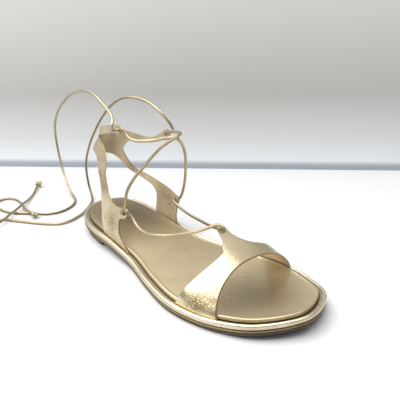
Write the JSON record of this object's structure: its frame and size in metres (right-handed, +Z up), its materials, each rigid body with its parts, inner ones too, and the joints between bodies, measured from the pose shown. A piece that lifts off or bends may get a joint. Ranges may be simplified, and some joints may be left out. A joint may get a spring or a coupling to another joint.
{
  "type": "gladiator sandal",
  "caption": "Flat lace-up gladiator sandal in metallic leather: shaped layered sole, open vamp band, quarters with rear straps and forward arms, round lace with free ends.",
  "frame": {"origin": "on the floor, under the middle of the heel", "axes": "+Y along the sole towards the toe, +Z up, +X to the wearer's right, which is the lateral side of this right sandal"},
  "size_m": [0.1441, 0.3573, 0.1138],
  "materials": {
    "top_piece": "matt",
    "heel_block": "stained stacked edge",
    "outsole": "stained edge",
    "welt": "satin",
    "rim": "glossy metallic foil",
    "footbed": "satin metallic foil",
    "upper": "crackled glossy metallic foil",
    "lace": "satin metallic, round",
    "knot": "satin metallic, round"
  },
  "bodies": {
    "root": {"top_piece": "top_piece", "heel_block": "heel_block", "outsole": "outsole", "welt": "welt", "rim": "rim", "footbed": "footbed", "vamp_band": "upper", "ankle_upper": "upper", "lace_crossing": "lace", "lace_end_medial": "lace", "lace_end_lateral": "lace", "knot_medial": "knot", "knot_lateral": "knot"}
  },
  "joints": []
}
